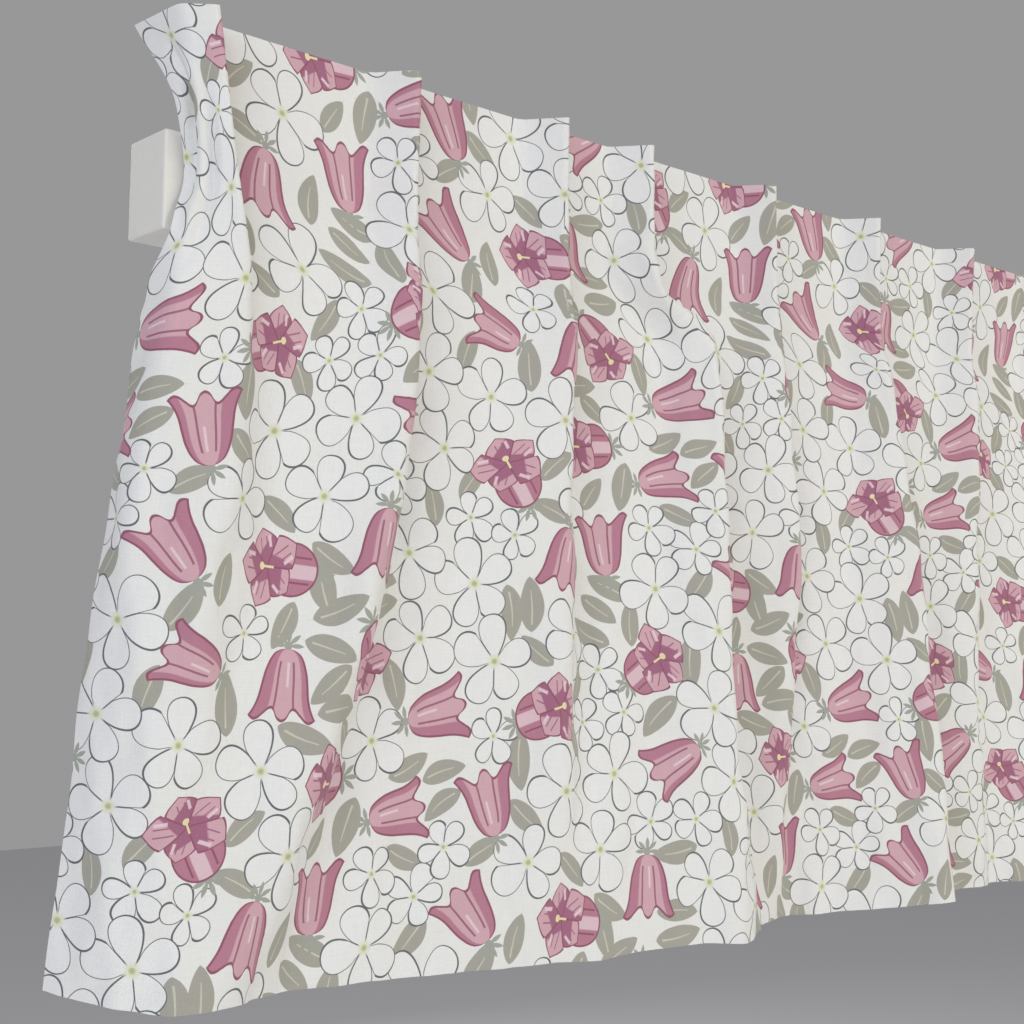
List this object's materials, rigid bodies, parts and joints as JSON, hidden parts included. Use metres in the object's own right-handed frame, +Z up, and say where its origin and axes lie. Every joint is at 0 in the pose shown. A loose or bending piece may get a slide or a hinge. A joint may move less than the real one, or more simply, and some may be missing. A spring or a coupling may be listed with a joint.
{
  "type": "window valance on a rail",
  "caption": "Floral cotton window valance with a standing pleated heading, hung on the front of a plain painted wooden rail.",
  "frame": {"origin": "middle of the rail's back face, where it lies on the wall", "axes": "+X along the rail, to the right for someone who faces the valance; +Y into the wall; +Z up"},
  "size_m": [1.2652, 0.0999, 0.4503],
  "materials": {
    "rail_paint": "satin white paint on planed wood",
    "valance_cotton": "plain-woven cotton, matt, printed with flowers and leaves"
  },
  "bodies": {
    "root": {"rail": "rail_paint", "valance_cloth": "valance_cotton"}
  },
  "joints": []
}
